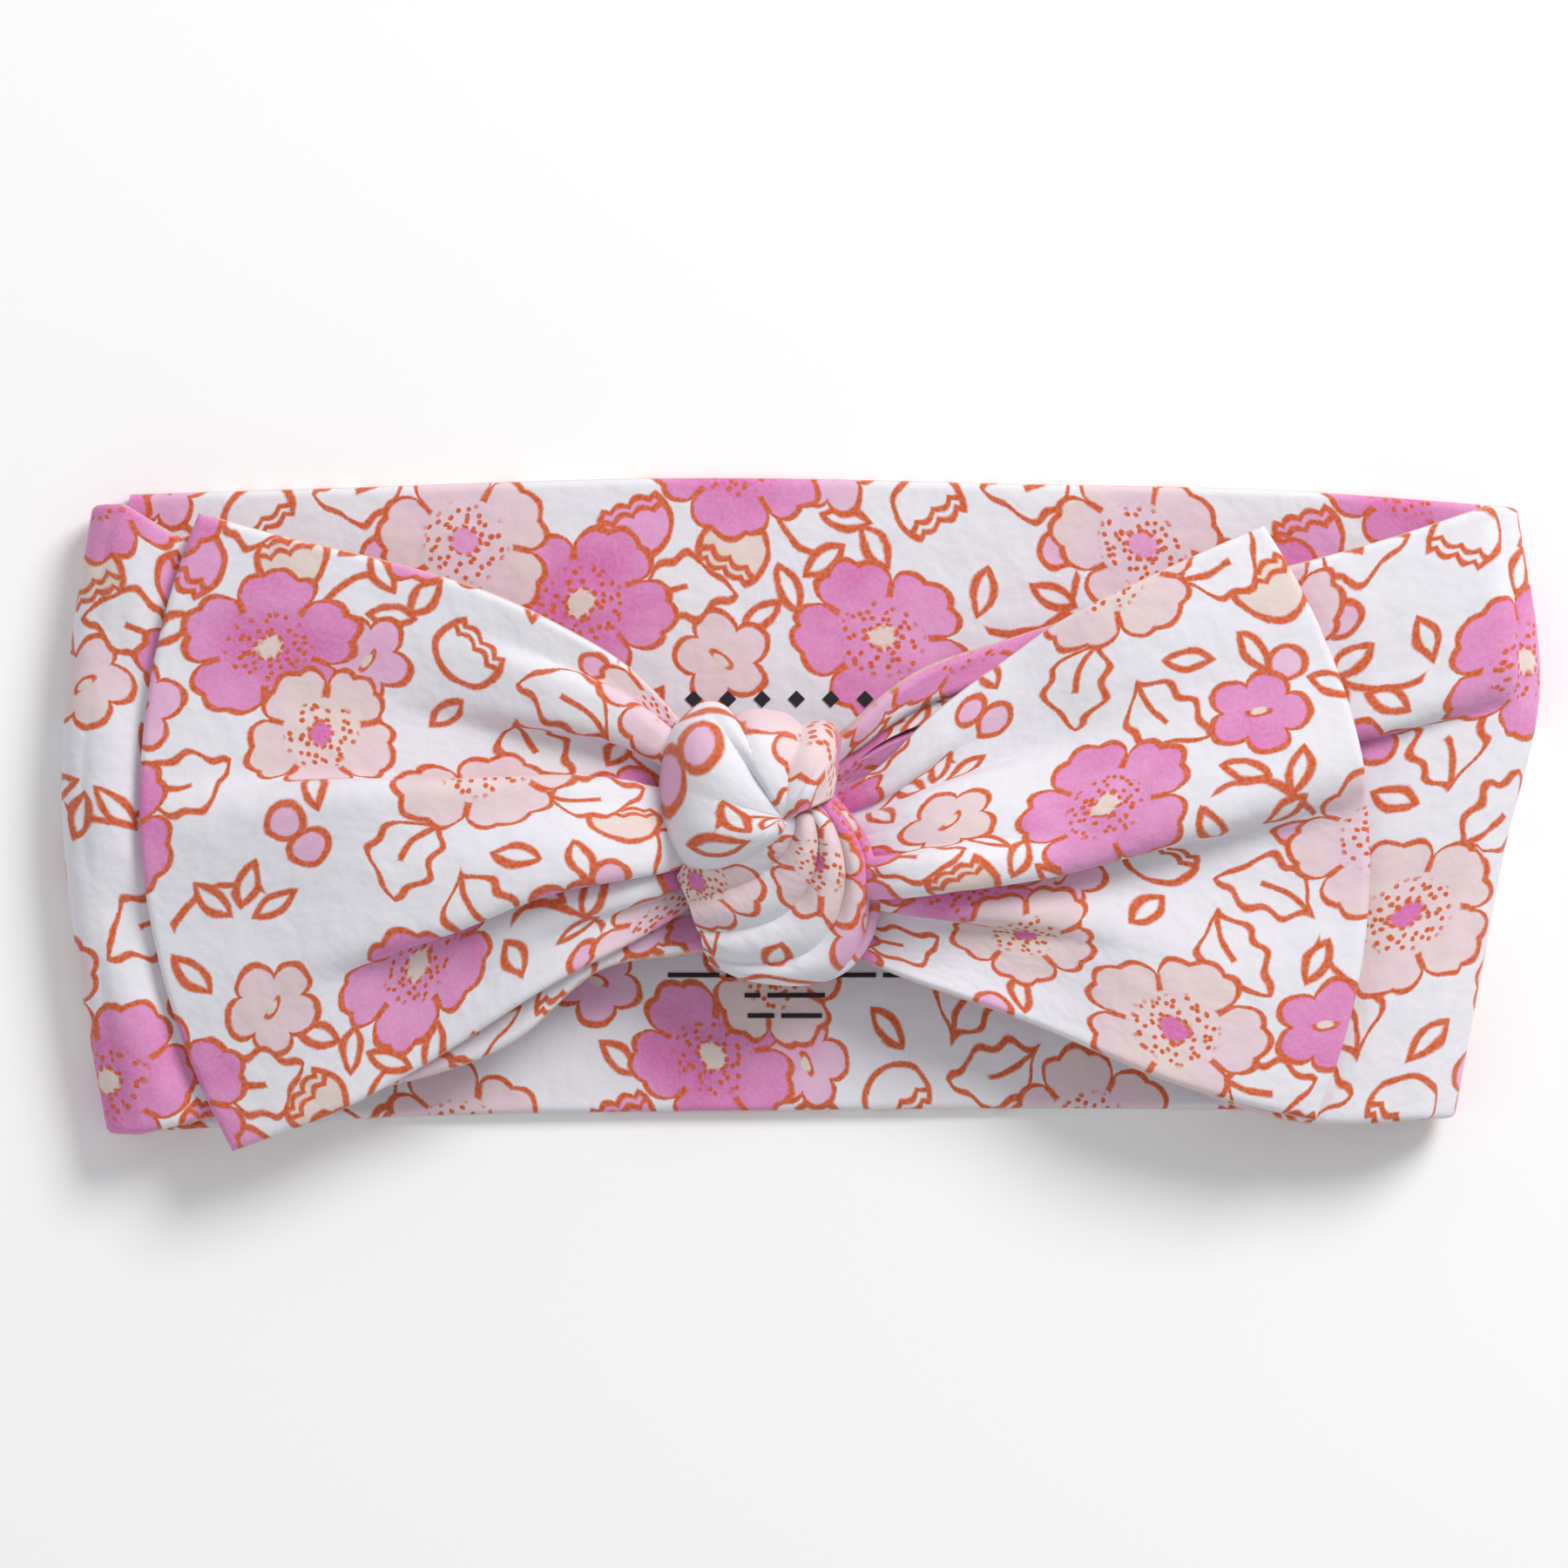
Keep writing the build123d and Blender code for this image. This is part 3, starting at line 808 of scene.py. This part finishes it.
# From the knot to the fold: what `gathered` calls the bulge, base, flat and taken.
FRONT_BULGE = ((0, 1), (0, 0))
FRONT_BASE = ((0, 0.3, 1), (8.6, 8.2, FRONT_Z))
FRONT_FLAT = ((0, 0.12, 0.5, 1), (0.8, 0.7, 0.5, 0.7))
FRONT_TAKEN = ((0, 0.5, 1), (0.7, 0.7, 0.8))
FRONT_RIPPLE = 0.05
FOLD_ROWS = 22
FRONT_ROWS = 110
ROOM = 0.3                       # kept between the front and the cloth over and under it


def front_half(name, side, fold_x, top, bottom, pleats, under, nodes):
    """One front half: round the end fold from underneath, then in to the knot."""
    v = across()
    share = v / WIDTH + 0.5
    edge_y = np.interp(share, [0, 1], [bottom[0][1], top[0][1]])
    outer_x = hermite(*fold_x, edge_y)
    turn = np.linspace(-math.pi / 2, math.pi / 2, FOLD_ROWS)[:-1]
    reach = side * (FOLD_R + HALF)
    fold = np.zeros((len(turn), len(v), 3))
    for i, angle in enumerate(turn):
        fold[i, :, 0] = outer_x + reach - side * FOLD_R * math.cos(angle)
        fold[i, :, 1] = edge_y
        fold[i, :, 2] = FOLD_Z + FOLD_R * math.sin(angle)
    # The flat part starts where the fold ends, as bowed as the fold is.
    start_low = (bottom[0][0] + reach, bottom[0][1])
    start_high = (top[0][0] + reach, top[0][1])
    low_line = [start_low, *bottom[1:]][::-1]
    high_line = [start_high, *top[1:]][::-1]
    u = np.linspace(1, 0, FRONT_ROWS)
    flat = gathered(low_line, high_line, side, FRONT_BULGE, FRONT_BASE, pleats, FRONT_RIPPLE,
                    FRONT_FLAT, FRONT_TAKEN, u, v)
    bow = outer_x + reach
    straight = np.interp(share, [0, 1], [bow[0], bow[-1]])
    flat[:, :, 0] += (bow - straight)[None, :] * u[:, None] ** 1.5
    flat = pressed(eased(flat, 20), under, HALF + ROOM, 2 * BACK_Z + HALF + ROOM)
    flat = relaxed(flat, 6)
    grid = relaxed(np.concatenate([fold, flat]), 2)
    s = bow[len(v) // 2] - side * distance_run(grid)
    piece = tube_mesh(name, grid, s, v, HALF, flip=side > 0)
    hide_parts(*nodes)
    return piece


def front_band(under):
    """Both front halves, kept under the height map of what lies on them."""
    left = front_half(
        "band_front_left", 1, LEFT_FOLD_X, LEFT_FRONT_TOP, LEFT_FRONT_BOTTOM,
        LEFT_FRONT_PLEATS, under,
        ("left_front_inner_ply", "left_front_outer_ply", "left_front_seam_thread",
         "left_fold_inner_ply", "left_fold_outer_ply"))
    right = front_half(
        "band_front_right", -1, RIGHT_FOLD_X, RIGHT_FRONT_TOP, RIGHT_FRONT_BOTTOM,
        RIGHT_FRONT_PLEATS, under,
        ("right_front_inner_ply", "right_front_outer_ply", "right_front_seam_thread",
         "right_fold_inner_ply", "right_fold_outer_ply"))
    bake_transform(left)
    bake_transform(right)
    return left, right


# ---- the wings --------------------------------------------------------------------------
# Outlines, pleats and the rest as `gathered` takes them, from the knot to the end seam.
LEFT_WING_TOP = ((-13.0, 9.0), (-17.2, 14.2), (-22.0, 19.0), (-28.7, 22.9), (-37.7, 27.4),
                 (-47.6, 30.7), (-68.5, 35.9), (-76.4, 38.2))
LEFT_WING_BOTTOM = ((-13.0, -11.5), (-20.5, -16.0), (-31.0, -21.4), (-43.1, -29.2), (-50.8, -33.8),
                    (-60.4, -38.7), (-66.7, -41.0), (-72.1, -43.0))
RIGHT_WING_TOP = ((5.0, 3.0), (9.9, 5.5), (14.5, 10.6), (19.9, 15.2), (26.5, 19.8), (32.1, 24.0),
                  (40.2, 28.1), (48.4, 32.0), (58.7, 36.5))
RIGHT_WING_BOTTOM = ((5.0, -17.5), (9.9, -19.6), (14.8, -21.6), (23.9, -24.7), (33.1, -28.3),
                     (44.5, -33.3), (55.5, -36.8), (65.2, -39.0))
LEFT_WING_PLEATS = (
    (-31, -35, 3.5, 1, 0.0, 0.4), (-24, -33, 5, -0.4, 0.15, 0.6), (-16, -25, 5.5, 1.9, 0.3, 0.85),
    (0, -12, 12, -0.35, 0.1, 0.8), (9, 4, 6, -1, 0.45, 1.5), (23, 23, 4.5, 1, 0.0, 0.65),
    (33, 33, 4, -1, 0.0, 0.6),
)
RIGHT_WING_PLEATS = (
    (-20, -24, 5.5, 1, 0.0, 0.75), (-10, 4, 7, 1.2, 0.5, 1.8), (5, 5, 4.5, -1, -0.1, 0.6),
    (22, 20, 5, -1, 0.0, 0.7), (32, 32, 4, 1, -0.2, 0.5),
)
LEFT_WING_BULGE = ((0, 0.2, 0.6, 1), (0, 1.0, 5.0, 9.6))
RIGHT_WING_BULGE = ((0, 0.2, 0.6, 1), (0, 1.0, 5.0, 10.2))
LEFT_WING_TAKEN = ((0, 0.55, 0.8, 1), (0.75, 0.72, 0.3, 0.0))
RIGHT_WING_TAKEN = ((0, 0.5, 0.75, 1), (0.55, 0.45, 0.35, 0.25))
WING_BASE = ((0, 0.1, 0.22, 0.4, 0.7, 1), (9.4, 10.2, 11.2, 11.2, WING_Z, WING_Z - 0.2))
WING_FLAT = ((0, 0.08, 0.2, 0.5, 0.8, 1), (0.2, 0.5, 0.68, 0.72, 0.9, 1.0))
WING_HALF = ((0, 0.2, 1), (0.8, 0.95, HALF))    # half thickness: thinner where it is gathered
WING_RIPPLE = 0.06
WING_ROWS = 120


def end_rows(last):
    """Row numbers with the last three rows drawn out to six, for the round of the end seam."""
    near_end = last - 2 * (1 - np.cos(np.linspace(math.pi / 2, 0, 6)))
    return np.append(np.arange(last - 2), near_end)


def wing(name, side, top, bottom, bulge, pleats, taken, nodes, shift):
    """One wing: gathered at the knot and spread to its sewn, rounded end."""
    v = across(0.62)
    u = np.linspace(0, 1, WING_ROWS)
    grid = gathered(bottom, top, side, bulge, WING_BASE, pleats, WING_RIPPLE, WING_FLAT, taken,
                    u, v)
    grid = relaxed(eased(grid, 50), 5)
    last = WING_ROWS - 1
    rows = end_rows(last)
    i = np.minimum(rows.astype(int), last - 1)
    w = (rows - i)[:, None, None]
    grid = (1 - w) * grid[i] + w * grid[i + 1]
    half = np.interp(rows / last, *WING_HALF)
    s = -side * distance_run(grid)
    piece = tube_mesh(name, grid, s, v, half, end_round=True, flip=side > 0, shift=shift)
    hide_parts(*nodes)
    return piece


def wings():
    """Both wings. Each has a printed stretch of its own."""
    left = wing(
        "left_wing", 1, LEFT_WING_TOP, LEFT_WING_BOTTOM,
        LEFT_WING_BULGE, LEFT_WING_PLEATS, LEFT_WING_TAKEN,
        ("left_wing_back_ply", "left_wing_front_ply",
         "left_wing_seam_thread", "left_wing_end_thread"),
        (-40.0, 12.0))
    right = wing(
        "right_wing", -1, RIGHT_WING_TOP, RIGHT_WING_BOTTOM,
        RIGHT_WING_BULGE, RIGHT_WING_PLEATS, RIGHT_WING_TAKEN,
        ("right_wing_back_ply", "right_wing_front_ply",
         "right_wing_seam_thread", "right_wing_end_thread"),
        (60.0, -25.0))
    (LEFT_HINGE_X + 3) * MM
    (LEFT_HINGE_X - 12) * MM
    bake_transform(left)
    (RIGHT_HINGE_X - 3) * MM
    (RIGHT_HINGE_X + 12) * MM
    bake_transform(right)
    return left, right


# ---- the knot ---------------------------------------------------------------------------
PINCH = (-2.0, -0.7)             # where the upper strand's folds run together
FAN_RIM = (
    (3.4, 1.6), (4.3, 6.5), (4.4, 9.9), (3.4, 11.1), (1.6, 11.0), (0.3, 10.6), (-1.7, 12.0),
    (-4.4, 12.6), (-6.8, 12.5), (-8.3, 11.7), (-9.4, 12.9), (-11.4, 13.7), (-14.2, 12.2),
    (-16.4, 9.0), (-17.2, 5.0), (-17.3, 0.6), (-16.6, -3.5), (-14.4, -6.1), (-10.6, -6.6),
    (-7.4, -5.6), (-4.2, -4.2), (-2.6, -2.2),
)
WRAP_RIM = (
    (1.6, 4.6), (4.6, 1.2), (6.9, -1.6), (8.6, -5.0), (9.6, -9.0), (9.3, -13.2), (7.8, -17.0),
    (5.2, -19.8), (1.2, -21.2), (-3.4, -21.2), (-7.6, -20.4), (-11.4, -18.6),
)
WRAP_HEART = (
    (-3.6, 2.6), (-3.0, 1.0), (-3.0, -0.4), (-3.8, -1.6), (-5.0, -2.4), (-6.6, -3.0), (-8.4, -3.4),
    (-10.2, -3.8), (-12.0, -4.4), (-13.4, -5.2), (-14.6, -6.2), (-15.4, -7.6),
)
KNOT_HALF = 0.55                 # half thickness of the knot's cloth
# From the pinch (0) over the rim (1) and under: how far out the fan's cloth is, and how high,
# where it goes round the knot and where it laps onto the lower strand.
FAN_TUCKED = 1.42
FAN_REACH = ((0, 0.25, 0.5, 0.75, 0.9, 1, 1.15, FAN_TUCKED),
             (0, 0.27, 0.54, 0.81, 0.94, 1, 0.985, 0.86))
FAN_OUTER = ((0, 0.2, 0.45, 0.7, 0.88, 1, 1.15, FAN_TUCKED),
             (21.4, 23.6, 24.2, 22.2, 18.4, 14.4, 11.4, 9.6))
FAN_LAPPED = ((0, 0.2, 0.45, 0.7, 0.88, 1, 1.15, FAN_TUCKED),
              (21.4, 22.9, 22.9, 21.8, 20.5, 18.8, 17.4, 16.0))
FAN_GROOVES = ((0.13, 0.7, 0.03), (0.235, 1.3, 0.05), (0.43, 1.9, 0.045), (0.62, 0.6, 0.06))
# Across the wrap, from its heart (0) over its rim (1) and under: how far out its cloth is, and
# how far up between its low and its high line.
WRAP_TUCKED = 1.3
WRAP_REACH = ((0, 0.5, 0.85, 1, 1.12, WRAP_TUCKED), (0, 0.54, 0.90, 1, 0.985, 0.90))
WRAP_FALL = ((0, 0.3, 0.6, 0.85, 1, 1.12, WRAP_TUCKED), (1, 0.97, 0.84, 0.62, 0.42, 0.2, -0.1))
# Along the wrap, from its upper right to its lower left: both lines, and the number and the
# height of its folds.
WRAP_HIGH = ((0, 0.12, 0.3, 0.55, 0.8, 1), (19.6, 20.6, 20.4, 18.6, 16.8, 14.8))
WRAP_LOW = ((0, 0.5, 1), (11.5, 9.6, 9.4))
WRAP_FOLDS = ((0, 0.4, 1), (4.9, 4.4, 3.4))
WRAP_SWELL = ((0, 0.25, 0.6, 1), (1.6, 2.8, 2.4, 1.6))


def grooves(q, marks):
    """Dents across a strand: (place, depth, half width)."""
    total = np.zeros_like(q)
    for place, depth, wide in marks:
        total -= depth * np.exp(-np.abs((q - place) / wide) ** 1.3)
    return total


def knot_upper():
    """The upper strand: a fan of soft folds that run together at the pinch."""
    q = np.linspace(0, 1, 150)
    w = np.concatenate([np.linspace(0, 1, 46), np.linspace(1, FAN_TUCKED, 18)[1:]])
    rim = along(FAN_RIM, q)
    reach = hermite(*FAN_REACH, w)
    outer = hermite(*FAN_OUTER, w)
    lapped = hermite(*FAN_LAPPED, w)
    laid_on = (1 - step(0.02, 0.10, q)) + step(0.74, 0.86, q)
    height = outer[:, None] + (lapped - outer)[:, None] * laid_on
    # Its last stretch, over the lower strand, lies a little lower.
    height -= (1.6 * step(0.7, 0.95, q)) * step(0.3, 1.0, w)[:, None]
    sink = step(0.02, 0.35, w) * (1 - 0.6 * step(0.8, 1.05, w))
    grid = np.zeros((len(w), len(q), 3))
    grid[:, :, :2] = np.array(PINCH) + (rim - PINCH) * reach[:, None, None]
    grid[:, :, 2] = height + sink[:, None] * grooves(q, FAN_GROOVES)
    grid = relaxed(grid, 3)
    v = np.linspace(-20, 20, len(q))
    piece = tube_mesh("knot_fan", grid, -30 + 16 * w, v, KNOT_HALF, flip=True, shift=(12, 7))
    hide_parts("knot_upper_strand")
    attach(piece, "front_band")
    return piece


def knot_lower():
    """The lower strand: long folds that come out under the fan and wrap round the knot."""
    t = np.linspace(0, 1, 150)
    q = np.concatenate([np.linspace(0, 1, 100), np.linspace(1, WRAP_TUCKED, 16)[1:]])
    rim = along(WRAP_RIM, t)
    heart = along(WRAP_HEART, t)
    high = hermite(*WRAP_HIGH, t)
    low = hermite(*WRAP_LOW, t)
    count = hermite(*WRAP_FOLDS, t)[:, None]
    swell = hermite(*WRAP_SWELL, t)[:, None]
    ridges = np.abs(np.sin(math.pi * (count * np.clip(q, 0, 1) ** 1.1 + 0.1))) ** 0.7
    lift = step(0.0, 0.12, q) * (1 - 0.6 * step(0.88, 1.1, q))
    grid = np.zeros((len(t), len(q), 3))
    grid[:, :, :2] = heart[:, None] + (rim - heart)[:, None] * hermite(*WRAP_REACH, q)[:, None]
    grid[:, :, 2] = low[:, None] + (high - low)[:, None] * hermite(*WRAP_FALL, q)
    grid[:, :, 2] += swell * (ridges - 0.6) * lift
    grid = relaxed(grid, 2)
    v = np.linspace(-16, 16, len(q))
    piece = tube_mesh("knot_wrap", grid, 40 * t, v, KNOT_HALF, shift=(70, 30))
    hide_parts("knot_lower_strand", "knot_core")
    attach(piece, "front_band")
    return piece


# ---- the care print ---------------------------------------------------------------------
INK = 0.09                       # how thick the ink is modelled
DIAMOND = 1.1                    # from its middle to each of its corners
DIAMONDS = [(-13.7 + 4.4 * i, 14.6) for i in range(7)]
DASH_HALF = 0.3                  # half height of a dash
DASH_GAP = 0.9
ROWS_MIDDLE = -2.0
# Each row of dashes: its y, and their lengths.
DASHES = ((-20.8, (6.6, 1.6, 4.4, 3.2, 1.2, 5.2, 2.4)), (-23.4, (2.0, 7.4)), (-26.0, (3.4, 5.2)))


def plain(name, color, roughness):
    """A material of one colour."""
    material = bpy.data.materials.new(name)
    material.use_nodes = True
    shader = material.node_tree.nodes["Principled BSDF"]
    shader.inputs["Base Color"].default_value = color
    shader.inputs["Roughness"].default_value = roughness
    return material


def care_marks():
    """The care print: rows of plain dashes of ink, and a row of small diamonds."""
    top = height_of("care_print")[1]
    corners = []
    faces = []

    def mark(*outline):
        first = len(corners)
        for z in (top - INK, top):
            corners.extend((x * MM, y * MM, z * MM) for x, y in outline)
        faces.append((first + 4, first + 5, first + 6, first + 7))
        faces.append((first + 3, first + 2, first + 1, first))
        for i in range(4):
            j = (i + 1) % 4
            faces.append((first + i, first + j, first + 4 + j, first + 4 + i))

    for x, y in DIAMONDS:
        mark((x - DIAMOND, y), (x, y - DIAMOND), (x + DIAMOND, y), (x, y + DIAMOND))
    for y, dashes in DASHES:
        x = ROWS_MIDDLE - (sum(dashes) + DASH_GAP * (len(dashes) - 1)) / 2
        low, high = y - DASH_HALF, y + DASH_HALF
        for dash in dashes:
            mark((x, low), (x + dash, low), (x + dash, high), (x, high))
            x += dash + DASH_GAP
    mesh = bpy.data.meshes.new("care_marks")
    mesh.from_pydata(corners, [], faces)
    mesh.materials.append(plain("print_ink", tone(34, 32, 36), 0.8))
    piece = bpy.data.objects.new("care_marks", mesh)
    bpy.context.scene.collection.objects.link(piece)
    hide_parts("care_print")
    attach(piece, "back_band")


# ---- everything -------------------------------------------------------------------------
care_marks()
left_wing, right_wing = wings()
left_front, right_front = front_band(roof([left_wing, right_wing]))
# Each piece of cloth: its flat width and length, what holds it, and what it rests on.
cloth = (
    (back_panel(), WIDTH, 178, "laid", ()),
    (left_front, WIDTH, 84, "folded", ("band_back",)),
    (right_front, WIDTH, 98, "folded", ("band_back",)),
    (left_wing, WIDTH, 66, "gathered", ("band_front_left",)),
    (right_wing, WIDTH, 60, "gathered", ("band_front_right",)),
    (knot_upper(), 50, 24, "gathered", ()),
    (knot_lower(), 36, 42, "gathered", ()),
)
for piece, flat_width, flat_length, held, rests_on in cloth:
    piece.data.materials.append(knit)
    flat_width * MM
    flat_length * MM
